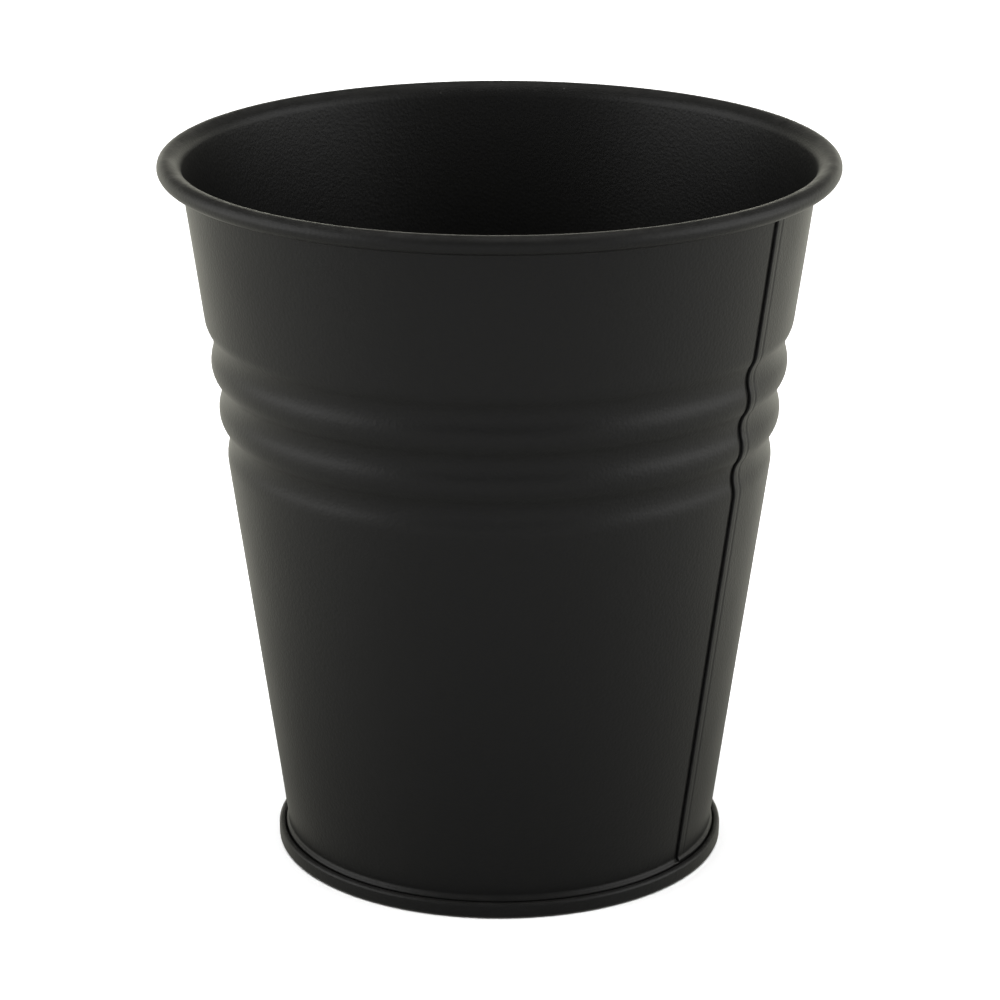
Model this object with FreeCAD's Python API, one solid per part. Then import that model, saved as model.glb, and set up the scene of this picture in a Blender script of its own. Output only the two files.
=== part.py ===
import FreeCAD, Part
import math
import os

# A round, tapered bucket of coated sheet steel, in millimetres.
# Frame: +Z up along the axis, origin at the centre of the plane the foot rests on, side seam on +X.
#
# The wall is one blank, rolled to a cone and hooked to itself along the side seam. Its top edge is
# curled outwards round a wire, three ring grooves stiffen it, and its lower edge is flanged outwards.
# The base is a pressed pan whose edge is folded round that flange: five layers that stand out as
# the foot. A bead of sealing compound lies in each of the two folded seams.
#
# Every sheet is drawn in the radius-height plane by walking along one of its faces. The second face
# is the same walk shifted to the left by the sheet's thickness.

# Driving dimensions
HEIGHT = 160.5
RIM_RADIUS = 75.0
FOOT_RADIUS = 50.9
SHEET = 0.45                 # steel with the coat on both faces
PLAY = 0.10                  # left between folded layers

# Rim
WIRE_RADIUS = 1.5
CURL_INNER_RADIUS = 1.6
RIM_BEND_RADIUS = 3.05       # how the wall leans out into the curl, on its outer face
CURL_TURN = 195.0            # degrees, from the top of the rim round to the tail
CURL_TAIL = 2.44

# Ring grooves
GROOVE_COUNT = 3
GROOVE_MIDDLE_HEIGHT = 108.4
GROOVE_PITCH = 11.15
GROOVE_ENTRY = 0.53          # share of the pitch that is a groove's lower flank
GROOVE_DEPTH = 1.1
GROOVE_CREST = 0.18          # how far the crests between the grooves stand out from the wall

# Foot: the folded bottom seam
FOOT_HEIGHT = 3.6
FOOT_CORNER_RADIUS = 0.9     # outer face of the fold that the bucket stands on
WALL_HOOK_TOP = 2.9
BASE_HOOK_END = 1.6
SHOULDER_HEIGHT = 3.5        # where the wall starts to lean in above the foot
SHOULDER_RADIUS = 0.8
SHOULDER_ANGLE = 47.5
CREASE_RADIUS = 1.0          # where the shoulder runs out into the wall
FLOOR_HEIGHT = 4.2
FLOOR_CORNER_RADIUS = 1.4

# Side seam, measured across it from the open edge of the outer fold
SEAM_BOTTOM = 6.0
SEAM_TOP = 157.0
SEAM_WIDTH = 3.2
SEAM_GAP = 0.35
SEAM_POCKET = 0.5            # left at the end of each hook
SEAM_MARGIN = 1.0            # wall rebuilt on each side of the seam
SEAM_SKEW = 0.68             # degrees, the seam leans towards +Y as it rises
SEAM_WEDGE = 12.0            # degrees of wall that the seam's layers are cut from

BEAD_CLEARANCE = 0.04

# Radii of the five layers of the foot, from the outside in
FOLD_RADIUS = PLAY + SHEET / 2
FOLD_WIDTH = 2 * FOLD_RADIUS
SKIRT_INNER_RADIUS = FOOT_RADIUS - SHEET
BASE_HOOK_OUTER_RADIUS = SKIRT_INNER_RADIUS - FOLD_WIDTH
WALL_FOOT_RADIUS = BASE_HOOK_OUTER_RADIUS - SHEET - PLAY
WALL_HOOK_INNER_RADIUS = WALL_FOOT_RADIUS + FOLD_WIDTH
COUNTERSINK_RADIUS = WALL_FOOT_RADIUS - SHEET - PLAY

FOOT_FOLD_HEIGHT = FOOT_HEIGHT - FOLD_RADIUS - SHEET
WALL_FOLD_HEIGHT = SHEET + PLAY + FOLD_RADIUS + SHEET

CURL_RADIUS = RIM_RADIUS - CURL_INNER_RADIUS - SHEET
CURL_HEIGHT = HEIGHT - CURL_INNER_RADIUS - SHEET
RIM_BEND_HEIGHT = HEIGHT - SHEET - RIM_BEND_RADIUS


class Walk:
    """A path of tangent lines and arcs, shifted to its left by a depth."""

    def __init__(self, radius, height, heading, depth=0.0):
        self.heading = math.radians(heading)
        self.depth = depth
        self.radius = radius - depth * math.sin(self.heading)
        self.height = height + depth * math.cos(self.heading)
        self.edges = []

    def point(self):
        return FreeCAD.Vector(self.radius, 0, self.height)

    def line(self, length):
        start = self.point()
        self.radius += length * math.cos(self.heading)
        self.height += length * math.sin(self.heading)
        self.edges.append(Part.LineSegment(start, self.point()).toShape())

    def arc(self, radius, turn):
        """Turn by so many degrees, left if positive; radius is that of the unshifted path."""
        side = math.copysign(1.0, turn)
        radius -= side * self.depth
        start = self.point()
        centre_radius = self.radius - side * radius * math.sin(self.heading)
        centre_height = self.height + side * radius * math.cos(self.heading)
        first = self.heading
        places = []
        for share in (0.5, 1.0):
            self.heading = first + math.radians(turn) * share
            self.radius = centre_radius + side * radius * math.sin(self.heading)
            self.height = centre_height - side * radius * math.cos(self.heading)
            places.append(self.point())
        self.edges.append(Part.Arc(start, places[0], places[1]).toShape())


def between(first, second):
    """The flat face between two walks along the same path."""
    ends = []
    for index, place in ((0, 0), (-1, -1)):
        a = first.edges[index].Vertexes[place].Point
        b = second.edges[index].Vertexes[place].Point
        ends.append(Part.LineSegment(a, b).toShape())
    wire = Part.Wire(Part.__sortEdges__(first.edges + second.edges + ends))
    return Part.Face(wire)


def turned(face, angle=360.0, start=0.0):
    """The solid that a face sweeps round the bucket's axis."""
    axis = FreeCAD.Vector(0, 0, 1)
    origin = FreeCAD.Vector(0, 0, 0)
    placed = face.copy()
    placed.rotate(origin, axis, start)
    return placed.revolve(origin, axis, angle)


def wall_line():
    """Where the straight wall starts, its heading and its length, as a tangent of its end bends."""
    lean = math.radians(SHOULDER_ANGLE)
    shoulder_run = SHOULDER_RADIUS * (1 - math.cos(lean))
    crease_radius = WALL_FOOT_RADIUS - shoulder_run + CREASE_RADIUS * math.cos(lean)
    crease_height = SHOULDER_HEIGHT + (SHOULDER_RADIUS + CREASE_RADIUS) * math.sin(lean)
    across = CURL_RADIUS - crease_radius
    up = RIM_BEND_HEIGHT - crease_height
    apart = math.hypot(across, up)
    heading = math.atan2(up, across) + math.asin((RIM_BEND_RADIUS - CREASE_RADIUS) / apart)
    length = math.sqrt(apart ** 2 - (RIM_BEND_RADIUS - CREASE_RADIUS) ** 2)
    start = (crease_radius - CREASE_RADIUS * math.sin(heading),
             crease_height + CREASE_RADIUS * math.cos(heading))
    return start, math.degrees(heading), length


WALL_START, WALL_HEADING, WALL_LENGTH = wall_line()


def groove_flank(walk, length, depth, side):
    """One flank of a ring groove: into the wall if side is 1, out of it if side is -1."""
    quarter = length / 2
    drop = depth / 2
    radius = (quarter ** 2 + drop ** 2) / (2 * drop)
    slope = side * math.degrees(math.asin(quarter / radius))
    walk.arc(radius, slope)
    walk.arc(radius, -slope)


def straight_wall(walk):
    """The straight wall with its ring grooves, each a flank into the wall and a flank out of it."""
    entry = GROOVE_PITCH * GROOVE_ENTRY
    first_groove = (GROOVE_MIDDLE_HEIGHT - WALL_START[1]) / math.sin(math.radians(WALL_HEADING))
    first_groove -= (GROOVE_COUNT - 1) / 2 * GROOVE_PITCH
    walk.line(first_groove - entry)
    for number in range(GROOVE_COUNT):
        below = 0.0 if number == 0 else GROOVE_CREST
        above = 0.0 if number == GROOVE_COUNT - 1 else GROOVE_CREST
        groove_flank(walk, entry, GROOVE_DEPTH + below, 1)
        groove_flank(walk, GROOVE_PITCH - entry, GROOVE_DEPTH + above, -1)
    walk.line(WALL_LENGTH - (first_groove - entry) - GROOVE_COUNT * GROOVE_PITCH)


def wall_walk(depth):
    """The whole wall, from the free edge of its lower hook to the free edge of the rim's curl."""
    walk = Walk(WALL_HOOK_INNER_RADIUS, WALL_HOOK_TOP, -90.0, depth)
    walk.line(WALL_HOOK_TOP - WALL_FOLD_HEIGHT)
    walk.arc(FOLD_RADIUS, -180.0)
    walk.line(SHOULDER_HEIGHT - WALL_FOLD_HEIGHT)
    walk.arc(SHOULDER_RADIUS, SHOULDER_ANGLE)
    walk.arc(CREASE_RADIUS, WALL_HEADING - 90.0 - SHOULDER_ANGLE)
    straight_wall(walk)
    walk.arc(RIM_BEND_RADIUS, -WALL_HEADING)
    walk.arc(CURL_INNER_RADIUS, -CURL_TURN)
    walk.line(CURL_TAIL)
    return walk


def seam_slab(near, far):
    """The space of the side seam between two leaning planes, given by their distance across it."""
    corner = FreeCAD.Vector(0, near - SEAM_WIDTH / 2, SEAM_BOTTOM)
    slab = Part.makeBox(1.5 * RIM_RADIUS, far - near, SEAM_TOP - SEAM_BOTTOM, corner)
    slab.rotate(FreeCAD.Vector(0, 0, HEIGHT / 2), FreeCAD.Vector(1, 0, 0), -SEAM_SKEW)
    return slab


def seam_layer(outer_depth, inner_depth, near, far):
    """Part of the straight wall at a depth behind its outer face and a distance across the seam."""
    walks = []
    for depth in (outer_depth, inner_depth):
        walk = Walk(WALL_START[0], WALL_START[1], WALL_HEADING, depth)
        straight_wall(walk)
        walks.append(walk)
    wedge = turned(between(walks[0], walks[1]), 2 * SEAM_WEDGE, -SEAM_WEDGE)
    return wedge.common(seam_slab(near, far))


def layer_depth(number):
    """Depth of the outer face of a layer of the side seam; layer 0 is the outer one."""
    return number * (SHEET + PLAY)


def make_body_wall():
    section = between(wall_walk(0.0), wall_walk(SHEET))
    plain_wall = turned(section, 360.0 - 2 * SEAM_WEDGE, SEAM_WEDGE)
    seam_wall = turned(section, 2 * SEAM_WEDGE, -SEAM_WEDGE)
    room = seam_layer(-SHEET, 2 * SHEET, -SEAM_MARGIN, SEAM_WIDTH + SEAM_MARGIN)
    fold_end = SEAM_WIDTH - SHEET
    pieces = [
        # the blank's left edge: set in behind the outer fold, hooked at the far side and brought back
        seam_layer(0.0, SHEET, -SEAM_MARGIN, -SEAM_GAP - SHEET),
        seam_layer(0.0, layer_depth(3) + SHEET, -SEAM_GAP - SHEET, -SEAM_GAP),
        seam_layer(layer_depth(3), layer_depth(3) + SHEET, -SEAM_GAP, fold_end),
        seam_layer(layer_depth(1), layer_depth(3) + SHEET, fold_end, SEAM_WIDTH),
        seam_layer(layer_depth(1), layer_depth(1) + SHEET, SHEET + SEAM_POCKET, fold_end),
        # its right edge: flush outside, folded back behind itself into the other hook
        seam_layer(0.0, SHEET, SHEET, SEAM_WIDTH + SEAM_MARGIN),
        seam_layer(0.0, layer_depth(2) + SHEET, 0.0, SHEET),
        seam_layer(layer_depth(2), layer_depth(2) + SHEET, SHEET, fold_end - SEAM_POCKET),
    ]
    return plain_wall.multiFuse([seam_wall.cut(room)] + pieces)


def make_side_seam_sealant():
    near = SHEET + BEAD_CLEARANCE
    far = SHEET + SEAM_POCKET - BEAD_CLEARANCE
    outer = layer_depth(1) + BEAD_CLEARANCE
    return seam_layer(outer, outer + SHEET - 2 * BEAD_CLEARANCE, near, far)


def make_base_pan():
    walks = []
    inner_corner = FOOT_CORNER_RADIUS - SHEET
    for depth in (0.0, SHEET):
        walk = Walk(BASE_HOOK_OUTER_RADIUS, BASE_HOOK_END, 90.0, depth)
        walk.line(FOOT_FOLD_HEIGHT - BASE_HOOK_END)
        walk.arc(FOLD_RADIUS, -180.0)
        walk.line(FOOT_FOLD_HEIGHT - FOOT_CORNER_RADIUS)
        walk.arc(inner_corner, -90.0)
        walk.line(SKIRT_INNER_RADIUS - COUNTERSINK_RADIUS - 2 * inner_corner)
        walk.arc(inner_corner, -90.0)
        walk.line(FLOOR_HEIGHT - FLOOR_CORNER_RADIUS - FOOT_CORNER_RADIUS)
        walk.arc(FLOOR_CORNER_RADIUS, 90.0)
        walk.line(COUNTERSINK_RADIUS - FLOOR_CORNER_RADIUS)
        walks.append(walk)
    return turned(between(walks[0], walks[1])).removeSplitter()


def make_base_seam_sealant():
    width = SHEET - 2 * BEAD_CLEARANCE
    bottom = WALL_FOLD_HEIGHT - FOLD_RADIUS / 2 + BEAD_CLEARANCE
    height = BASE_HOOK_END - BEAD_CLEARANCE - bottom
    corner = FreeCAD.Vector(BASE_HOOK_OUTER_RADIUS - BEAD_CLEARANCE - width, 0, bottom)
    return turned(Part.makePlane(height, width, corner, FreeCAD.Vector(0, 1, 0)))


def make_rim_wire():
    centre = FreeCAD.Vector(0, 0, CURL_HEIGHT)
    return Part.makeTorus(CURL_RADIUS, WIRE_RADIUS, centre, FreeCAD.Vector(0, 0, 1))


PIECES = {
    "body_wall": make_body_wall,
    "base_pan": make_base_pan,
    "rim_wire": make_rim_wire,
    "base_seam_sealant": make_base_seam_sealant,
    "side_seam_sealant": make_side_seam_sealant,
}

os.makedirs("parts", exist_ok=True)
for name, make in PIECES.items():
    shape = make()
    box = shape.BoundBox
    print(f"{name}: {len(shape.Solids)} solid, valid {shape.isValid()}, volume {shape.Volume:.1f} mm3, "
          f"x {box.XMin:.2f} {box.XMax:.2f}, z {box.ZMin:.2f} {box.ZMax:.2f}")
    shape.exportStep(f"parts/{name}.step")
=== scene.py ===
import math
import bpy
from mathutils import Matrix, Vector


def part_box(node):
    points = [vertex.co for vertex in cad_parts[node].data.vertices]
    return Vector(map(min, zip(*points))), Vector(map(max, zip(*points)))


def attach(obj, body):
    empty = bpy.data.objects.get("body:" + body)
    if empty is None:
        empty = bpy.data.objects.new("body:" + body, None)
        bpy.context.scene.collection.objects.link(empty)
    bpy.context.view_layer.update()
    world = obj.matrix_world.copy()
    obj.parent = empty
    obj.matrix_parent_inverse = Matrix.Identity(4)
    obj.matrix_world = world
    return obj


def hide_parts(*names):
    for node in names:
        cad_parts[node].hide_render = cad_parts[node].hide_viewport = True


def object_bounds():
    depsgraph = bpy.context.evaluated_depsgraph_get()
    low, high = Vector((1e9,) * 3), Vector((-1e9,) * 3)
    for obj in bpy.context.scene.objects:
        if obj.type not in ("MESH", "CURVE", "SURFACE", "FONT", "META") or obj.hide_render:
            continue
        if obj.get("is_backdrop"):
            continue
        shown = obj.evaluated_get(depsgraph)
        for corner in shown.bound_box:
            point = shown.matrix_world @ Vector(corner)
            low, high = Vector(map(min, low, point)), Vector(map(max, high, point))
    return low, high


bl_info = {
    "name": "Coated Steel Bucket",
    "version": (1, 0, 0),
    "blender": (4, 5, 0),
    "location": "3D View > Sidebar > Bucket",
    "description": "A tapered coated steel bucket with a folded seam and foot, and its studio",
    "category": "Add Mesh",
}

import bpy
import numpy as np
from bpy.props import FloatProperty, FloatVectorProperty, PointerProperty
from mathutils import Vector, noise

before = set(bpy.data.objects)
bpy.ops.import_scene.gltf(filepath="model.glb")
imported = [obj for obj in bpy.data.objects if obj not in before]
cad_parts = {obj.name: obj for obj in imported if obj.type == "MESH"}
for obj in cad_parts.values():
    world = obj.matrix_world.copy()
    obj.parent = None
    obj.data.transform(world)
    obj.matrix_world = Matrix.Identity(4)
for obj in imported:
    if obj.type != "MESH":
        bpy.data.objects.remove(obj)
CAD_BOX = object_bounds()
BASE_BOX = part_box("base_pan")

MM = 0.001

# Sizes too small to be worth a setting: lengths in millimetres, angles in degrees

# Wall and foot
FLANGE = 0.9                 # upright edge of the wall, held in the foot's fold
SHOULDER_ANGLE = 47.5        # how far the wall leans in above the foot
SHOULDER_RADIUS = 0.8
CREASE_RADIUS = 1.0
RIM_BEND_RADIUS = 3.05
CURL_TURN = 195.0            # from the top of the rim round to the curl's tail
TAIL_FILLET = 0.35           # coat gathered where the curl's tail meets the wall
GROOVE_COUNT = 3
GROOVE_ENTRY = 0.53          # share of a ring groove's pitch that is its lower flank
FOLD_PLAY = 0.10             # between the layers of the folded foot
HOOK_START = 1.6             # height of the base's edge, folded up inside the foot
FOOT_CORNER_RADIUS = 0.9
FLOOR_CORNER_RADIUS = 1.4

# Side seam, measured across it from the edge of its outer fold
SEAM_REACH = 16.0            # how far from the seam the wall is shaped by it
SEAM_BEFORE = 0.37           # share of the outer fold before the seam's middle line
SEAM_WANDER = 0.05           # how far the seam strays from a straight line
WANDER_LENGTH = 9.0
FOLD_EDGE_RADIUS = 0.26
FOLD_GAP = 0.17              # open line beside the outer fold
GAP_DEPTH = 0.45
GAP_WALL = 0.01              # steep side of the open line
DIP_DEPTH = 0.30             # the wall sinks this far towards the open line
DIP_REACH = 1.8
CREASE_DEPTH = 0.08          # pressed line along the far side of the outer fold
CREASE_WIDTH = 0.55
CREASE_INSET = 0.45
PROUD_HEIGHT = 0.28          # the wall beyond the fold stands out this far, then sinks back
PROUD_FADE = 3.5
PROUD_HOLD = 6.0
INNER_HEIGHT = 1.6           # the folded layers on the inner face
INNER_RAMP = (-1.6, 0.2)

# Where the seam starts and ends
OUTER_START = (0.05, 0.7)    # above the shoulder
INNER_START = (5.0, 6.5)     # above the ground
INNER_END = (6.5, 3.2)       # below the top of the rim

# Unevenness and rubbing
WAVE_LENGTH = 32.0
WAVE_START = (4.0, 25.0)     # distance from either end over which the waviness grows
RUBBED_RIM = (1.2, 0.1)      # below the top of the rim
RUBBED_FOLD_MIDDLE = 0.3
RUBBED_FOLD_WIDTH = 0.25
RUBBED_FOOT = (0.7, 0.05)    # above the ground
RUBBED_LEDGE = (0.5, 0.8)    # above the foot's fold
LEDGE_SHARE = 0.6

# Mesh
WALL_COLUMNS = 140           # round the wall, away from the seam
BASE_COLUMNS = 240
LONG_STEP = 2.0              # between points on a straight run
SHORT_STEP = 0.5             # the same, in a fold
BEND_STEP = 7.0
CURL_STEP = 5.0
FOLD_STEP = 9.0
FILLET_STEP = 12.0
GROOVE_STEP = 3.0
POLE_RADIUS = 1e-6           # a ring smaller than this is a point
SHARP_ANGLE = 50.0

# Coat, with bump heights in metres
COAT_ROUGHNESS = (0.40, 0.48)
RUBBED_GLOSS = -0.1          # change of roughness where it is rubbed
DUSTY_ROUGHNESS = 0.3        # change of roughness under dust
COAT_BUMP = {"strength": 0.62, "distance": 0.00011}
WIRE_BUMP = {"strength": 0.2, "distance": 0.00003}
COMPOUND_BUMP = {"strength": 0.4, "distance": 0.00003}

# Studio, in metres
MIDDLE = Vector((0, 0, 0.08))
FLOOR_HALF_WIDTH = 4.0
SHADE_HALF_WIDTH = 1.0
SHADE_HEIGHT = -0.001
OVERHEAD_SIZE = 2.6
OVERHEAD_HEIGHT = 2.2
SIDE_SIZE = (1.2, 0.9)
SIDE_DISTANCE = 1.0
SIDE_HEIGHT = 0.45
BACK_LIGHT_FOCUS = 9.0       # power that narrows the light from behind
SENSOR_WIDTH = 36.0          # millimetres
LENS_SHIFT = (0.0006, 0.0005)

# Socket numbers of the Mix node, whose names repeat
MIX_FACTOR = 0
MIX_VALUES = (2, 3)
MIX_COLOURS = (6, 7)
MIX_COLOUR_OUT = 2


# Settings

class BucketShape(bpy.types.PropertyGroup):
    """Sizes of the bucket"""
    height: FloatProperty(
        name="Height", description="From the foot to the top of the rim",
        default=CAD_BOX[1].z, unit="LENGTH", precision=4)
    rim_radius: FloatProperty(
        name="Rim Radius", description="To the outside of the rolled rim",
        default=75 * MM, unit="LENGTH", precision=4)
    foot_radius: FloatProperty(
        name="Foot Radius", description="To the outside of the folded foot",
        default=50.9 * MM, unit="LENGTH", precision=4)
    foot_height: FloatProperty(
        name="Foot Height", description="From the ground to the top of the folded foot",
        default=3.6 * MM, unit="LENGTH", precision=4)
    floor_height: FloatProperty(
        name="Floor Height", description="From the ground to the floor inside the bucket",
        default=BASE_BOX[1].z, unit="LENGTH", precision=4)
    sheet: FloatProperty(
        name="Sheet Thickness", description="Steel with the coat on both faces",
        default=0.45 * MM, unit="LENGTH", precision=5)
    curl_radius: FloatProperty(
        name="Curl Radius", description="Outside radius of the rolled rim's curl",
        default=2.05 * MM, unit="LENGTH", precision=5)
    groove_depth: FloatProperty(
        name="Groove Depth", description="How far the ring grooves are pressed into the wall",
        default=1.1 * MM, unit="LENGTH", precision=5)
    groove_crest: FloatProperty(
        name="Groove Crest",
        description="How far the crests between the grooves stand out from the wall",
        default=0.18 * MM, unit="LENGTH", precision=5)
    groove_pitch: FloatProperty(
        name="Groove Pitch", description="From one ring groove to the next, along the wall",
        default=11.15 * MM, unit="LENGTH", precision=4)
    groove_height: FloatProperty(
        name="Groove Height",
        description="From the ground to the bottom of the middle ring groove",
        default=108.4 * MM, unit="LENGTH", precision=4)
    seam_width: FloatProperty(
        name="Seam Width", description="Across the outer fold of the side seam",
        default=2.5 * MM, unit="LENGTH", precision=4)
    seam_lean: FloatProperty(
        name="Seam Lean", description="How far the side seam leans from upright",
        default=math.radians(0.68), subtype="ANGLE")
    waviness: FloatProperty(
        name="Waviness", description="Shallow unevenness that rolling leaves in the sheet",
        default=0.05 * MM, unit="LENGTH", precision=5)


class BucketFinish(bpy.types.PropertyGroup):
    """Colours and textures of the bucket's pieces"""
    coat: FloatVectorProperty(
        name="Coat Colour", description="The powder coat",
        default=(0.0030, 0.0030, 0.0028), subtype="COLOR", min=0, max=1)
    worn_coat: FloatVectorProperty(
        name="Rubbed Coat Colour", description="The coat where edges have been handled",
        default=(0.009, 0.009, 0.0085), subtype="COLOR", min=0, max=1)
    dust: FloatVectorProperty(
        name="Dust Colour", description="Dust settled on faces that look up",
        default=(0.30, 0.29, 0.28), subtype="COLOR", min=0, max=1)
    grain: FloatProperty(
        name="Grain Size", description="Size of the coat's fine texture",
        default=0.75 * MM, unit="LENGTH", precision=5)
    wire: FloatVectorProperty(
        name="Wire Colour", description="The zinc-coated wire in the rim",
        default=(0.55, 0.56, 0.57), subtype="COLOR", min=0, max=1)
    compound: FloatVectorProperty(
        name="Seam Compound Colour", description="The sealing compound in the folded seams",
        default=(0.16, 0.15, 0.14), subtype="COLOR", min=0, max=1)


class BucketStudio(bpy.types.PropertyGroup):
    """The floor, the light and the camera"""
    floor: FloatVectorProperty(
        name="Floor Colour", description="The plain floor the bucket stands on",
        default=(0.90, 0.90, 0.90), subtype="COLOR", min=0, max=1)
    front: FloatProperty(
        name="Front Light", description="Strength of the low even light from the camera's side",
        default=0.37, min=0)
    beside: FloatProperty(
        name="Even Side Light",
        description="Strength of the low even light from beside the bucket",
        default=0.56, min=0)
    back: FloatProperty(
        name="Back Light", description="Strength of the low even light from behind the bucket",
        default=2.1, min=0)
    sky_front: FloatProperty(
        name="High Front Light", description="Strength of the even light above the camera",
        default=0.28, min=0)
    sky_back: FloatProperty(
        name="High Back Light", description="Strength of the even light high behind the bucket",
        default=0.04, min=0)
    zenith: FloatProperty(
        name="Light Above", description="Strength of the even light from straight above",
        default=0.03, min=0)
    warmth: FloatVectorProperty(
        name="Back Light Colour",
        description="Colour of the light from behind and beside the bucket",
        default=(1.0, 0.99, 0.85), subtype="COLOR", min=0, max=1)
    overhead: FloatProperty(
        name="Overhead Light", description="Power of the large light that lights the floor",
        default=150.0, min=0, unit="POWER")
    side: FloatProperty(
        name="Side Light", description="Power of each light beside the bucket",
        default=3.6, min=0, unit="POWER")
    spread: FloatProperty(
        name="Side Light Spread",
        description="How far round from the camera the side lights stand",
        default=math.radians(82), subtype="ANGLE")
    azimuth: FloatProperty(
        name="Camera Azimuth", description="Round the bucket from its front",
        default=math.radians(32.7), subtype="ANGLE")
    elevation: FloatProperty(
        name="Camera Elevation", description="Above the horizon",
        default=math.radians(18.5), subtype="ANGLE")
    distance: FloatProperty(
        name="Camera Distance", description="From the bucket's middle",
        default=0.8684, unit="LENGTH")
    lens: FloatProperty(
        name="Lens", description="Focal length in millimetres",
        default=138.55, min=1, subtype="DISTANCE_CAMERA")


# Sheet outlines

class SheetPath:
    """Points along one face of a folded sheet, in the radius-height plane, in millimetres.

    The path is shifted to its left by a depth. Each point is a radius and a height, and the
    direction to the left of the path there.
    """

    def __init__(self, radius, height, heading, depth=0.0):
        self.heading = math.radians(heading)
        self.depth = depth
        self.radius = radius - depth * math.sin(self.heading)
        self.height = height + depth * math.cos(self.heading)
        self.points = []
        self.keep()

    def keep(self):
        """Add the place reached so far."""
        left = (-math.sin(self.heading), math.cos(self.heading))
        self.points.append((self.radius, self.height, *left))

    def line(self, length, step=LONG_STEP):
        """Go straight on."""
        count = max(1, round(length / step))
        for _ in range(count):
            self.radius += length / count * math.cos(self.heading)
            self.height += length / count * math.sin(self.heading)
            self.keep()

    def arc(self, radius, turn, step=BEND_STEP):
        """Turn by so many degrees, left if positive; radius is that of the unshifted path."""
        side = math.copysign(1.0, turn)
        radius -= side * self.depth
        centre_radius = self.radius - side * radius * math.sin(self.heading)
        centre_height = self.height + side * radius * math.cos(self.heading)
        count = max(2, round(abs(turn) / step))
        for _ in range(count):
            self.heading += math.radians(turn) / count
            self.radius = centre_radius + side * radius * math.sin(self.heading)
            self.height = centre_height - side * radius * math.cos(self.heading)
            self.keep()

    def array(self):
        """The points as rows."""
        return np.array(self.points)


class WallOutline:
    """Where the wall's bends and straight run are, worked out from the bucket's sizes."""

    def __init__(self, shape):
        lean = math.radians(SHOULDER_ANGLE)
        self.sheet = shape.sheet / MM
        fold = 2 * FOLD_PLAY + self.sheet
        self.hook_radius = shape.foot_radius / MM - self.sheet - fold
        self.foot_radius = self.hook_radius - self.sheet - FOLD_PLAY
        self.shoulder_height = shape.foot_height / MM - FOLD_PLAY
        self.curl_radius = shape.curl_radius / MM
        self.curl_centre = (shape.rim_radius / MM - self.curl_radius,
                            shape.height / MM - self.curl_radius)
        bend_height = shape.height / MM - self.sheet - RIM_BEND_RADIUS
        shoulder_end = self.foot_radius - SHOULDER_RADIUS * (1 - math.cos(lean))
        crease = (shoulder_end + CREASE_RADIUS * math.cos(lean),
                  self.shoulder_height + (SHOULDER_RADIUS + CREASE_RADIUS) * math.sin(lean))
        across = self.curl_centre[0] - crease[0]
        up = bend_height - crease[1]
        self.heading = math.atan2(up, across) + math.asin(
            (RIM_BEND_RADIUS - CREASE_RADIUS) / math.hypot(across, up))
        self.start = (crease[0] - CREASE_RADIUS * math.sin(self.heading),
                      crease[1] + CREASE_RADIUS * math.cos(self.heading))
        self.length = math.sqrt(across ** 2 + up ** 2 - (RIM_BEND_RADIUS - CREASE_RADIUS) ** 2)
        self.groove_pitch = shape.groove_pitch / MM
        self.groove_depth = shape.groove_depth / MM
        self.groove_crest = shape.groove_crest / MM
        self.groove_height = shape.groove_height / MM

    def from_foot(self, depth):
        """A path up the wall as far as its straight run."""
        path = SheetPath(self.foot_radius, self.shoulder_height - FLANGE, 90.0, depth)
        path.line(FLANGE, SHORT_STEP)
        path.arc(SHOULDER_RADIUS, SHOULDER_ANGLE)
        path.arc(CREASE_RADIUS, math.degrees(self.heading) - 90.0 - SHOULDER_ANGLE)
        return path

    def straight(self, path, length):
        """The straight run with its ring grooves."""
        entry = self.groove_pitch * GROOVE_ENTRY
        below = ((self.groove_height - self.start[1]) / math.sin(self.heading)
                 - self.groove_pitch - entry)
        path.line(below)
        for number in range(GROOVE_COUNT):
            entry_rise = 0 if number == 0 else self.groove_crest
            exit_rise = 0 if number == GROOVE_COUNT - 1 else self.groove_crest
            self.flank(path, entry, self.groove_depth + entry_rise, 1)
            self.flank(path, self.groove_pitch - entry, self.groove_depth + exit_rise, -1)
        path.line(length - below - GROOVE_COUNT * self.groove_pitch)

    def flank(self, path, length, depth, side):
        """One flank of a groove: into the wall if side is 1, out of it if it is -1."""
        quarter, drop = length / 2, depth / 2
        radius = (quarter ** 2 + drop ** 2) / (2 * drop)
        slope = side * math.degrees(math.asin(quarter / radius))
        path.arc(radius, slope, GROOVE_STEP)
        path.arc(radius, -slope, GROOVE_STEP)

    def tail_run(self):
        """Where the curl's tail meets the straight run: the run, the tail's length, the turn."""
        tail = math.radians(180.0 - CURL_TURN)
        end = (self.curl_centre[0] + self.curl_radius * math.sin(tail),
               self.curl_centre[1] - self.curl_radius * math.cos(tail))
        gap = (end[0] - self.start[0], end[1] - self.start[1])
        turn = self.heading - tail
        run = (gap[1] * math.cos(tail) - gap[0] * math.sin(tail)) / math.sin(turn)
        length = ((gap[0] * math.sin(self.heading) - gap[1] * math.cos(self.heading))
                  / math.sin(turn))
        trim = TAIL_FILLET * math.tan(turn / 2)
        return run - trim, length - trim, math.degrees(turn)


# Mesh tools

def smooth_step(value, start, end):
    """0 before the start, 1 after the end, and a smooth rise between them."""
    share = np.clip((value - start) / (end - start), 0.0, 1.0)
    return share * share * (3 - 2 * share)


def link(data, name):
    """A new object in the scene."""
    piece = bpy.data.objects.new(name, data)
    bpy.context.collection.objects.link(piece)
    return piece


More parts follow.
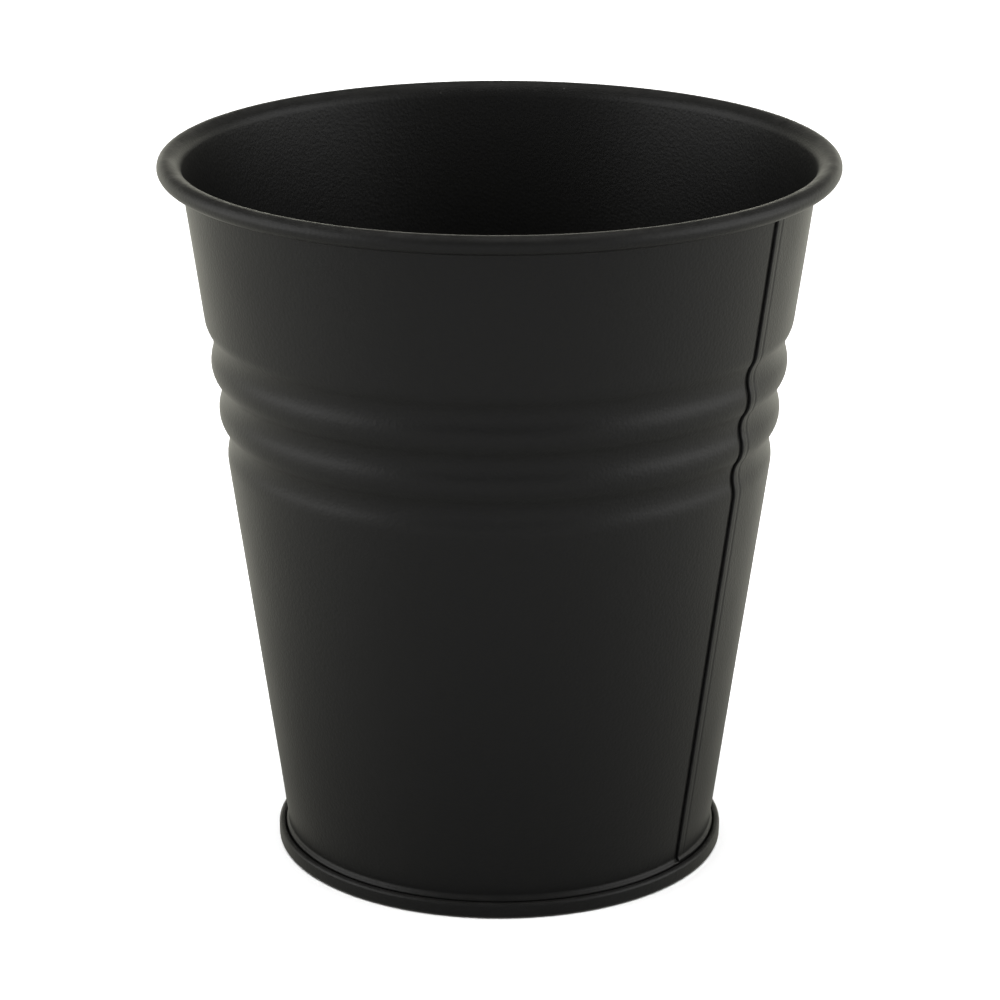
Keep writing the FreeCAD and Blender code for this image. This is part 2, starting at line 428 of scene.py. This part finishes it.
def mesh_of_rings(name, rings, rubbed):
    """A closed mesh through rings of points: a ring of one repeated point makes a pole.

    rings has one row per ring, in millimetres; rubbed has how far each of its points is rubbed.
    """
    count, around = rings.shape[:2]
    poles = [bool(np.allclose(ring, ring[0])) for ring in rings]
    places, shares, first = [], [], []
    for ring, share, pole in zip(rings, rubbed, poles):
        first.append(len(places))
        places.extend((ring[:1] if pole else ring) * MM)
        shares.extend(share[:1] if pole else share)
    faces = []
    last = count - 1 if poles[0] else count
    for low in range(last):
        high = (low + 1) % count
        for here in range(around):
            there = (here + 1) % around
            corners = [first[low] + (0 if poles[low] else here),
                       first[low] + (0 if poles[low] else there),
                       first[high] + (0 if poles[high] else there),
                       first[high] + (0 if poles[high] else here)]
            faces.append(list(dict.fromkeys(corners)))
    mesh = bpy.data.meshes.new(name)
    mesh.from_pydata([tuple(place) for place in places], [], faces)
    mesh.validate()
    mesh.shade_smooth()
    mesh.set_sharp_from_angle(angle=math.radians(SHARP_ANGLE))
    attribute = mesh.attributes.new("rubbed", "FLOAT", "POINT")
    attribute.data.foreach_set("value", np.array(shares, float))
    return mesh


def uneven(place, scale, seed):
    """Smooth unevenness between about -1 and 1 at a point in millimetres."""
    return noise.noise(Vector(place) / scale + Vector((seed, 0, 0)))


# Body wall

def seam_columns(width):
    """Distances across the side seam, closest together where the sheet bends most."""
    return np.concatenate([
        np.linspace(-SEAM_REACH, -3.0, 12, endpoint=False),
        np.linspace(-3.0, -FOLD_GAP, 22, endpoint=False),
        [-FOLD_GAP, -FOLD_GAP + 0.03, -FOLD_GAP / 2, -0.02],
        FOLD_EDGE_RADIUS * (1 - np.cos(np.linspace(0, math.pi / 2, 10))),
        np.linspace(0.7, width - 0.8, 8),
        np.linspace(width - 0.7, width + 0.7, 19),
        np.linspace(width + 1.0, width + 4.0, 10),
        np.linspace(width + 5.0, SEAM_REACH, 8)])


def outer_relief(across, width):
    """How far the outer face stands out beyond the plain wall, across the side seam."""
    dip = -DIP_DEPTH * smooth_step(across, -DIP_REACH, -FOLD_GAP)
    inside = np.clip(FOLD_EDGE_RADIUS - across, 0, FOLD_EDGE_RADIUS)
    edge = np.sqrt(FOLD_EDGE_RADIUS ** 2 - inside ** 2) - FOLD_EDGE_RADIUS
    crease = -CREASE_DEPTH * np.exp(-((across - width + CREASE_INSET) / CREASE_WIDTH) ** 2)
    proud = PROUD_HEIGHT * np.exp(-np.maximum(across - width, 0) / PROUD_FADE)
    proud = proud * (1 - smooth_step(across, width + PROUD_HOLD, SEAM_REACH))
    relief = np.where(across < 0, dip, edge + crease + proud)
    in_gap = (across > -FOLD_GAP + GAP_WALL) & (across < -GAP_WALL)
    return np.where(in_gap, -GAP_DEPTH, relief)


def inner_relief(across, width):
    """How far the inner face stands in beyond the plain wall, across the side seam."""
    rise = INNER_HEIGHT * smooth_step(across, *INNER_RAMP)
    inside = np.clip(across - (width - FOLD_EDGE_RADIUS), 0, FOLD_EDGE_RADIUS)
    edge = FOLD_EDGE_RADIUS - np.sqrt(FOLD_EDGE_RADIUS ** 2 - inside ** 2)
    beyond = -outer_relief(across, width)
    return np.where(across <= width, rise - edge, beyond)


def wall_sections(shape):
    """The wall's closed outline, and how strongly the side seam shows on each face along it."""
    outline = WallOutline(shape)
    run, tail, turn = outline.tail_run()
    outer = outline.from_foot(0.0)
    outline.straight(outer, run)
    wall_points = len(outer.points)
    outer.arc(TAIL_FILLET, -turn, FILLET_STEP)
    fillet_points = len(outer.points)
    outer.line(tail, SHORT_STEP)
    outer.arc(outline.curl_radius, CURL_TURN, CURL_STEP)
    outer.arc(RIM_BEND_RADIUS + outline.sheet, math.degrees(outline.heading), CURL_STEP)
    outer.points.pop()
    inner = outline.from_foot(outline.sheet)
    outline.straight(inner, outline.length)

    outside = outer.array()
    outside[:, 2:] *= -1
    inside = inner.array()[::-1]
    order = np.arange(len(outside))
    start, end = (outline.shoulder_height + above for above in OUTER_START)
    on_outside = smooth_step(outside[:, 1], start, end)
    on_outside *= np.clip((fillet_points - 3 - order) / (fillet_points - wall_points - 2), 0, 1)
    top = shape.height / MM
    start, end = (top - below for below in INNER_END)
    on_inside = smooth_step(inside[:, 1], *INNER_START)
    on_inside *= 1 - smooth_step(inside[:, 1], start, end)
    points = np.concatenate([outside, inside])
    return (points, np.concatenate([on_outside, np.zeros(len(inside))]),
            np.concatenate([np.zeros(len(outside)), on_inside]))


def make_wall_mesh(shape):
    """The wall as one closed sheet, shaped at the side seam and slightly wavy elsewhere."""
    points, on_outside, on_inside = wall_sections(shape)
    width = shape.seam_width / MM
    near = seam_columns(width)
    far = np.linspace(0, 1, WALL_COLUMNS + 2)[1:-1]
    rings = np.zeros((len(points), len(near) + len(far), 3))
    rubbed = np.zeros(rings.shape[:2])
    outer, inner = outer_relief(near, width), inner_relief(near, width)
    top = shape.height / MM
    for row, (radius, height, out, up) in enumerate(points):
        drift = (height - top / 2) * math.tan(shape.seam_lean) - SEAM_BEFORE * width
        drift += SEAM_WANDER * uneven((0, 0, height), WANDER_LENGTH, seed=5.0)
        gap = math.asin(drift / radius)
        angles = gap + near / radius
        start, end = angles[-1], angles[0] + 2 * math.pi
        angles = np.concatenate([angles, start + far * (end - start)])
        relief = np.zeros(len(angles))
        relief[:len(near)] = on_outside[row] * outer + on_inside[row] * inner
        near_end, far_end = WAVE_START
        free = smooth_step(height, near_end, far_end)
        free *= 1 - smooth_step(height, top - far_end, top - near_end)
        side = math.copysign(1.0, out)
        for column, angle in enumerate(angles):
            place = (radius * math.cos(angle), radius * math.sin(angle), height)
            wave = uneven(place, WAVE_LENGTH, seed=1.0)
            relief[column] += side * free * shape.waviness / MM * wave
        away = radius + out * relief
        rings[row, :, 0] = away * np.cos(angles)
        rings[row, :, 1] = away * np.sin(angles)
        rings[row, :, 2] = height + up * relief
        rubbed[row] = smooth_step(height, *(top - below for below in RUBBED_RIM))
        rubbed[row, :len(near)] += on_outside[row] * np.exp(
            -((near - RUBBED_FOLD_MIDDLE) / RUBBED_FOLD_WIDTH) ** 2)
    return mesh_of_rings("body_wall", rings, np.clip(rubbed, 0, 1))


# Base pan

def make_base_mesh(shape):
    """The base as one closed sheet, with its edge folded round the wall's flange."""
    outline = WallOutline(shape)
    fold = FOLD_PLAY + outline.sheet / 2
    top = shape.foot_height / MM - fold - outline.sheet
    skirt = shape.foot_radius / MM - outline.sheet
    countersink = outline.foot_radius - outline.sheet - FOLD_PLAY
    corner = FOOT_CORNER_RADIUS - outline.sheet
    floor = shape.floor_height / MM
    faces = []
    for depth in (0.0, outline.sheet):
        path = SheetPath(outline.hook_radius, HOOK_START, 90.0, depth)
        path.line(top - HOOK_START, SHORT_STEP)
        path.arc(fold, -180.0, FOLD_STEP)
        path.line(top - FOOT_CORNER_RADIUS, step=0.6)
        path.arc(corner, -90.0, FOLD_STEP)
        path.line(skirt - countersink - 2 * corner, SHORT_STEP)
        path.arc(corner, -90.0, FOLD_STEP)
        path.line(floor - FLOOR_CORNER_RADIUS - FOOT_CORNER_RADIUS, step=0.8)
        path.arc(FLOOR_CORNER_RADIUS, 90.0, FOLD_STEP)
        path.line(countersink - FLOOR_CORNER_RADIUS)
        faces.append(path.array())
    points = np.concatenate([faces[0][::-1], faces[1]])
    angles = np.linspace(0, 2 * math.pi, BASE_COLUMNS, endpoint=False)
    rings = np.zeros((len(points), len(angles), 3))
    rubbed = np.zeros(rings.shape[:2])
    for row, (radius, height, _, _) in enumerate(points):
        radius = radius if radius > POLE_RADIUS else 0.0
        rings[row, :, 0] = radius * np.cos(angles)
        rings[row, :, 1] = radius * np.sin(angles)
        rings[row, :, 2] = height
        foot = smooth_step(-height, *(-above for above in RUBBED_FOOT))
        ledge = smooth_step(height, *(top + above for above in RUBBED_LEDGE))
        rubbed[row] = foot + ledge * LEDGE_SHARE
    return mesh_of_rings("base_pan", rings, np.clip(rubbed, 0, 1))


# Effects shared by the materials

def new_group(name, inputs, outputs):
    """A shader node group with float inputs (name to default) and float outputs."""
    group = bpy.data.node_groups.new(name, "ShaderNodeTree")
    for label, default in inputs.items():
        socket = group.interface.new_socket(label, in_out="INPUT", socket_type="NodeSocketFloat")
        socket.default_value = default
    for label in outputs:
        group.interface.new_socket(label, in_out="OUTPUT", socket_type="NodeSocketFloat")
    return group, group.nodes.new("NodeGroupInput"), group.nodes.new("NodeGroupOutput")


def add_node(tree, kind, operation=None, inputs=(), **settings):
    """A node with its settings. Its inputs, by name or number, are given values or sockets."""
    node = tree.nodes.new(kind)
    if operation:
        node.operation = operation
    for key, value in settings.items():
        setattr(node, key, value)
    for key, value in dict(inputs).items():
        if isinstance(value, bpy.types.NodeSocket):
            tree.links.new(value, node.inputs[key])
        else:
            node.inputs[key].default_value = value
    return node


def scaled_place(tree, size):
    """Object coordinates divided by a size in metres."""
    place = add_node(tree, "ShaderNodeTexCoord")
    share = add_node(tree, "ShaderNodeMath", "DIVIDE", {0: 1.0, 1: size})
    return add_node(tree, "ShaderNodeVectorMath", "SCALE",
                    {0: place.outputs["Object"], "Scale": share.outputs[0]}).outputs[0]


def grain_group():
    """Rounded pimples with finer unevenness between them, and a slow change over the surface."""
    group, given, result = new_group(
        "Coat Grain", {"Size": 0.0008, "Fineness": 0.4}, ["Height", "Patch"])
    place = scaled_place(group, given.outputs["Size"])
    pimples = add_node(group, "ShaderNodeTexVoronoi", None,
                       {"Vector": place, "Scale": 1.0, "Smoothness": 0.7}, feature="SMOOTH_F1")
    fine = add_node(group, "ShaderNodeTexNoise", None,
                    {"Vector": place, "Scale": 1.7, "Detail": 3.0, "Roughness": 0.55})
    coarse_socket, fine_socket = MIX_VALUES
    height = add_node(group, "ShaderNodeMix", None, {
        MIX_FACTOR: given.outputs["Fineness"],
        coarse_socket: pimples.outputs["Distance"], fine_socket: fine.outputs[0]})
    patch = add_node(group, "ShaderNodeTexNoise", None,
                     {"Vector": place, "Scale": 0.045, "Detail": 2.0, "Roughness": 0.5})
    group.links.new(height.outputs[0], result.inputs["Height"])
    group.links.new(patch.outputs[0], result.inputs["Patch"])
    return group


def dust_group():
    """Where dust lies: a thin haze and a few specks, on faces that look up."""
    group, given, result = new_group(
        "Settled Dust", {"Haze": 0.03, "Specks": 0.12, "Speck Spacing": 0.009}, ["Mask"])
    normal = add_node(group, "ShaderNodeNewGeometry").outputs["Normal"]
    upward = add_node(group, "ShaderNodeSeparateXYZ", None, {0: normal})
    facing = add_node(group, "ShaderNodeMapRange", None,
                      {"Value": upward.outputs["Z"], "From Min": 0.2, "From Max": 0.9})
    place = scaled_place(group, given.outputs["Speck Spacing"])
    cloud = add_node(group, "ShaderNodeTexNoise", None,
                     {"Vector": place, "Scale": 2.2, "Detail": 4.0, "Roughness": 0.65})
    haze = add_node(group, "ShaderNodeMath", "MULTIPLY",
                    {0: cloud.outputs[0], 1: given.outputs["Haze"]})
    cells = add_node(group, "ShaderNodeTexVoronoi", None, {"Vector": place, "Scale": 1.0})
    speck = add_node(group, "ShaderNodeMapRange", None, {
        "Value": cells.outputs["Distance"], "From Min": 0.035, "From Max": 0.02})
    specks = add_node(group, "ShaderNodeMath", "MULTIPLY",
                      {0: speck.outputs[0], 1: given.outputs["Specks"]})
    both = add_node(group, "ShaderNodeMath", "MAXIMUM",
                    {0: haze.outputs[0], 1: specks.outputs[0]})
    mask = add_node(group, "ShaderNodeMath", "MULTIPLY",
                    {0: both.outputs[0], 1: facing.outputs[0]})
    group.links.new(mask.outputs[0], result.inputs["Mask"])
    return group


def rubbed_group():
    """Where handling has worn the coat smooth: the mesh's rubbed share, broken up."""
    group, given, result = new_group(
        "Rubbed Edges", {"Amount": 0.6, "Size": 0.003}, ["Mask"])
    share = add_node(group, "ShaderNodeAttribute", attribute_name="rubbed")
    place = scaled_place(group, given.outputs["Size"])
    broken = add_node(group, "ShaderNodeTexNoise", None,
                      {"Vector": place, "Scale": 1.0, "Detail": 3.0, "Roughness": 0.6})
    level = add_node(group, "ShaderNodeMapRange", None,
                     {"Value": broken.outputs[0], "From Min": 0.35, "From Max": 0.65})
    worn = add_node(group, "ShaderNodeMath", "MULTIPLY",
                    {0: share.outputs["Fac"], 1: level.outputs[0]})
    mask = add_node(group, "ShaderNodeMath", "MULTIPLY",
                    {0: worn.outputs[0], 1: given.outputs["Amount"]})
    group.links.new(mask.outputs[0], result.inputs["Mask"])
    return group


EFFECTS = {"Coat Grain": grain_group, "Settled Dust": dust_group, "Rubbed Edges": rubbed_group}


def effect(tree, name, **inputs):
    """The outputs of an effect's group, placed in a material with its own values."""
    group = bpy.data.node_groups.get(name) or EFFECTS[name]()
    node = add_node(tree, "ShaderNodeGroup", node_tree=group)
    for label, value in inputs.items():
        node.inputs[label.replace("_", " ")].default_value = value
    return node.outputs


def blend_colours(tree, share, first, second):
    """The first colour turning into the second; each is a socket or a colour."""
    node = tree.nodes.new("ShaderNodeMix")
    node.data_type = "RGBA"
    for index, value in zip((MIX_FACTOR, *MIX_COLOURS), (share, first, second)):
        if isinstance(value, bpy.types.NodeSocket):
            tree.links.new(value, node.inputs[index])
        else:
            node.inputs[index].default_value = (*value, 1.0)
    return node.outputs[MIX_COLOUR_OUT]


def ranged(tree, value, low, high):
    """A value from 0 to 1 moved to a range, whose ends are sockets or numbers."""
    return add_node(tree, "ShaderNodeMapRange", None,
                    {"Value": value, "To Min": low, "To Max": high}).outputs[0]


def new_material(name):
    """A material, its node tree and its shader."""
    material = bpy.data.materials.new(name)
    material.use_nodes = True
    tree = material.node_tree
    return material, tree, tree.nodes["Principled BSDF"]


def add_bump(tree, shader, height, strength, distance):
    """Give the shader the unevenness of a height, in metres."""
    bump = add_node(tree, "ShaderNodeBump", None,
                    {"Height": height, "Strength": strength, "Distance": distance})
    tree.links.new(bump.outputs[0], shader.inputs["Normal"])


# Materials

def coat_material(finish):
    """Satin powder coat with a fine grain, rubbed at the edges and a little dusty on top."""
    material = bpy.data.materials.get("satin powder coat")
    if material:
        return material
    material, tree, shader = new_material("satin powder coat")
    grain = effect(tree, "Coat Grain", Size=finish.grain)
    dust = effect(tree, "Settled Dust")["Mask"]
    rubbed = effect(tree, "Rubbed Edges")["Mask"]
    coat = blend_colours(tree, rubbed, tuple(finish.coat), tuple(finish.worn_coat))
    colour = blend_colours(tree, dust, coat, tuple(finish.dust))
    tree.links.new(colour, shader.inputs["Base Color"])
    satin = ranged(tree, grain["Patch"], *COAT_ROUGHNESS)
    smoother = add_node(tree, "ShaderNodeMath", "MULTIPLY_ADD",
                        {0: rubbed, 1: RUBBED_GLOSS, 2: satin})
    dusty = add_node(tree, "ShaderNodeMath", "MULTIPLY_ADD",
                     {0: dust, 1: DUSTY_ROUGHNESS, 2: smoother.outputs[0]}, use_clamp=True)
    tree.links.new(dusty.outputs[0], shader.inputs["Roughness"])
    add_bump(tree, shader, grain["Height"], **COAT_BUMP)
    return material


def wire_material(finish):
    """Zinc-coated wire, dull where it was drawn."""
    material, tree, shader = new_material("zinc wire")
    drawn = effect(tree, "Coat Grain", Size=0.0004, Fineness=0.8)
    dull = tuple(0.7 * part for part in finish.wire)
    colour = blend_colours(tree, drawn["Patch"], dull, tuple(finish.wire))
    tree.links.new(colour, shader.inputs["Base Color"])
    tree.links.new(ranged(tree, drawn["Height"], 0.3, 0.5), shader.inputs["Roughness"])
    add_bump(tree, shader, drawn["Height"], **WIRE_BUMP)
    shader.inputs["Metallic"].default_value = 1.0
    return material


def compound_material(finish):
    """Sealing compound with a dry, slightly wrinkled skin."""
    material, tree, shader = new_material("seam compound")
    skin = effect(tree, "Coat Grain", Size=0.0003, Fineness=0.6)
    pale = tuple(1.4 * part for part in finish.compound)
    colour = blend_colours(tree, skin["Patch"], tuple(finish.compound), pale)
    tree.links.new(colour, shader.inputs["Base Color"])
    tree.links.new(ranged(tree, skin["Height"], 0.55, 0.75), shader.inputs["Roughness"])
    add_bump(tree, shader, skin["Height"], **COMPOUND_BUMP)
    return material


def dress(piece, material):
    """Give a piece its one material."""
    piece.data.materials.clear()
    piece.data.materials.append(material)


def place_piece(mesh, name, node, material):
    """A piece that stands for a node of the frame and rides on its body."""
    piece = link(mesh, name)
    dress(piece, material)
    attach(piece, "root")
    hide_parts(node)


# Stage

def level_square(name, half, height):
    """A level square centred on the bucket's axis."""
    mesh = bpy.data.meshes.new(name)
    corners = [(half * x, half * y, height) for x, y in ((-1, -1), (1, -1), (1, 1), (-1, 1))]
    mesh.from_pydata(corners, [], [(0, 1, 2, 3)])
    return link(mesh, name)


def make_floor(studio):
    """A plain floor that hides nothing from below."""
    floor = level_square("floor", FLOOR_HALF_WIDTH, 0.0)
    material, tree, shader = new_material("studio floor")
    shader.inputs["Base Color"].default_value = (*studio.floor, 1.0)
    shader.inputs["Roughness"].default_value = 0.8
    shader.inputs["Specular IOR Level"].default_value = 0.1
    from_below = add_node(tree, "ShaderNodeNewGeometry").outputs["Backfacing"]
    solid = add_node(tree, "ShaderNodeMath", "SUBTRACT", {0: 1.0, 1: from_below})
    tree.links.new(solid.outputs[0], shader.inputs["Alpha"])
    dress(floor, material)
    floor.visible_glossy = False
    floor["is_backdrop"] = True


def make_shade():
    """A card under the floor, seen only in reflections, that darkens them near the foot."""
    card = level_square("shade card", SHADE_HALF_WIDTH, SHADE_HEIGHT)
    material, tree, shader = new_material("shade card")
    place = add_node(tree, "ShaderNodeTexCoord").outputs["Object"]
    away = add_node(tree, "ShaderNodeVectorMath", "LENGTH", {0: place})
    clear = add_node(tree, "ShaderNodeMapRange", None, {
        "Value": away.outputs["Value"], "From Min": 0.03, "From Max": 0.30, "To Min": 0.42},
        interpolation_type="SMOOTHSTEP")
    through = add_node(tree, "ShaderNodeBsdfTransparent", None, {"Color": clear.outputs[0]})
    tree.links.new(through.outputs[0], tree.nodes["Material Output"].inputs["Surface"])
    tree.nodes.remove(shader)
    dress(card, material)
    for ray in ("camera", "diffuse", "transmission", "volume_scatter", "shadow"):
        setattr(card, f"visible_{ray}", False)
    card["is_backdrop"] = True


def direction(azimuth):
    """Level direction at an azimuth, counted like the camera's."""
    return Vector((math.sin(azimuth), -math.cos(azimuth), 0.0))


def make_surround(scene, studio):
    """Even light: low down brightest behind the bucket, higher up brightest in front, dim above.

    What the camera sees of it, behind everything, is plain white.
    """
    scene.world = scene.world or bpy.data.worlds.new("studio")
    scene.world.use_nodes = True
    tree = scene.world.node_tree
    look = add_node(tree, "ShaderNodeTexCoord").outputs["Generated"]
    rise = add_node(tree, "ShaderNodeSeparateXYZ", None, {0: look}).outputs["Z"]
    along = add_node(tree, "ShaderNodeVectorMath", "DOT_PRODUCT",
                     {0: look, 1: -direction(studio.azimuth)}).outputs["Value"]
    behind = add_node(tree, "ShaderNodeMapRange", None,
                      {"Value": along, "From Min": -1.0}).outputs[0]
    beside = add_node(tree, "ShaderNodeMapRange", None, {
        "Value": behind, "From Min": 0.1, "From Max": 0.6,
        "To Min": studio.front, "To Max": studio.beside},
        interpolation_type="SMOOTHSTEP").outputs[0]
    straight_behind = add_node(tree, "ShaderNodeMath", "POWER", {0: behind, 1: BACK_LIGHT_FOCUS})
    low = ranged(tree, straight_behind.outputs[0], beside, studio.back)
    high = ranged(tree, behind, studio.sky_front, studio.sky_back)
    higher = add_node(tree, "ShaderNodeMapRange", None, {
        "Value": rise, "From Min": 0.15, "From Max": 0.6,
        "To Min": high, "To Max": studio.zenith}).outputs[0]
    level = add_node(tree, "ShaderNodeMapRange", None, {
        "Value": rise, "From Min": 0.07, "From Max": 0.28,
        "To Min": low, "To Max": higher}).outputs[0]
    white = (1.0, 1.0, 1.0)
    seen = add_node(tree, "ShaderNodeLightPath").outputs["Is Camera Ray"]
    tint = blend_colours(tree, behind, white, tuple(studio.warmth))
    backdrop = tree.nodes["Background"]
    tree.links.new(blend_colours(tree, seen, tint, white), backdrop.inputs["Color"])
    tree.links.new(ranged(tree, seen, level, 1.0), backdrop.inputs["Strength"])


def add_light(name, power, width, height, place):
    """A rectangular light that faces the bucket's middle, and that the camera doesn't see."""
    data = bpy.data.lights.new(name, "AREA")
    data.shape = "RECTANGLE"
    data.energy = power
    data.size = width
    data.size_y = height
    light = link(data, name)
    light.location = place
    light.rotation_euler = (MIDDLE - place).to_track_quat("-Z", "Y").to_euler()
    light.visible_camera = False
    return light


def make_lights(studio):
    """A large light above for the floor, and a soft light on each side."""
    overhead = add_light("overhead light", studio.overhead, OVERHEAD_SIZE, OVERHEAD_SIZE,
                         Vector((0, 0, OVERHEAD_HEIGHT)))
    overhead.visible_glossy = False
    for name, turn in (("left light", -studio.spread), ("right light", studio.spread)):
        place = SIDE_DISTANCE * direction(studio.azimuth + turn) + Vector((0, 0, SIDE_HEIGHT))
        add_light(name, studio.side, *SIDE_SIZE, place)


def make_camera(scene, studio):
    """The camera, aimed at the bucket's middle."""
    camera = link(bpy.data.cameras.new("camera"), "camera")
    camera.data.lens = studio.lens
    camera.data.sensor_width = SENSOR_WIDTH
    camera.data.shift_x, camera.data.shift_y = LENS_SHIFT
    level = math.cos(studio.elevation)
    away = Vector((math.sin(studio.azimuth) * level, -math.cos(studio.azimuth) * level,
                   math.sin(studio.elevation)))
    camera.location = MIDDLE + studio.distance * away
    camera.rotation_euler = (-away).to_track_quat("-Z", "Y").to_euler()
    scene.camera = camera
    scene.view_settings.view_transform = "Standard"


# Operators and panel

class BUCKET_OT_body_wall(bpy.types.Operator):
    """Make the rolled wall with its rim, ring grooves and side seam"""
    bl_idname = "bucket.body_wall"
    bl_label = "Body Wall"

    def execute(self, context):
        mesh = make_wall_mesh(context.scene.bucket_shape)
        place_piece(mesh, "wall", "body_wall", coat_material(context.scene.bucket_finish))
        return {"FINISHED"}


class BUCKET_OT_base_pan(bpy.types.Operator):
    """Make the pressed base with the foot folded at its edge"""
    bl_idname = "bucket.base_pan"
    bl_label = "Base Pan"

    def execute(self, context):
        mesh = make_base_mesh(context.scene.bucket_shape)
        place_piece(mesh, "base", "base_pan", coat_material(context.scene.bucket_finish))
        return {"FINISHED"}


class BUCKET_OT_rim_wire(bpy.types.Operator):
    """Finish the wire that the rim is curled round"""
    bl_idname = "bucket.rim_wire"
    bl_label = "Rim Wire"

    def execute(self, context):
        dress(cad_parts["rim_wire"], wire_material(context.scene.bucket_finish))
        return {"FINISHED"}


class BUCKET_OT_seam_beads(bpy.types.Operator):
    """Finish the beads of compound in the two folded seams"""
    bl_idname = "bucket.seam_beads"
    bl_label = "Seam Beads"

    def execute(self, context):
        material = compound_material(context.scene.bucket_finish)
        for node in ("base_seam_sealant", "side_seam_sealant"):
            dress(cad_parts[node], material)
        return {"FINISHED"}


class BUCKET_OT_studio(bpy.types.Operator):
    """Lay the floor, light it and set up the camera"""
    bl_idname = "bucket.studio"
    bl_label = "Studio"

    def execute(self, context):
        studio = context.scene.bucket_studio
        make_floor(studio)
        make_shade()
        make_surround(context.scene, studio)
        make_lights(studio)
        make_camera(context.scene, studio)
        return {"FINISHED"}


class BUCKET_PT_sidebar(bpy.types.Panel):
    """Sizes, finishes and studio settings, and the operators that use them"""
    bl_idname = "BUCKET_PT_sidebar"
    bl_label = "Coated Steel Bucket"
    bl_space_type = "VIEW_3D"
    bl_region_type = "UI"
    bl_category = "Bucket"

    def draw(self, context):
        for settings in (context.scene.bucket_shape, context.scene.bucket_finish,
                         context.scene.bucket_studio):
            box = self.layout.box()
            for name in settings.__annotations__:
                box.prop(settings, name)
        for operator in OPERATORS:
            self.layout.operator(operator.bl_idname)


OPERATORS = (BUCKET_OT_body_wall, BUCKET_OT_base_pan, BUCKET_OT_rim_wire, BUCKET_OT_seam_beads,
             BUCKET_OT_studio)
SETTINGS = {
    "bucket_shape": BucketShape,
    "bucket_finish": BucketFinish,
    "bucket_studio": BucketStudio,
}


def register():
    for kind in (*SETTINGS.values(), *OPERATORS, BUCKET_PT_sidebar):
        bpy.utils.register_class(kind)
    for name, kind in SETTINGS.items():
        setattr(bpy.types.Scene, name, PointerProperty(type=kind))


def unregister():
    for name in SETTINGS:
        delattr(bpy.types.Scene, name)
    for kind in (BUCKET_PT_sidebar, *reversed(OPERATORS), *SETTINGS.values()):
        bpy.utils.unregister_class(kind)


def main():
    """Make everything, and work out the sizes of the frame and of the finished bucket."""
    register()
    bpy.ops.bucket.body_wall()
    bpy.ops.bucket.base_pan()
    bpy.ops.bucket.rim_wire()
    bpy.ops.bucket.seam_beads()
    bpy.ops.bucket.studio()
    boxes = {"cad": CAD_BOX, "visual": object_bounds()}
    {name: [list(corner) for corner in box] for name, box in boxes.items()}


if __name__ == "__main__":
    main()
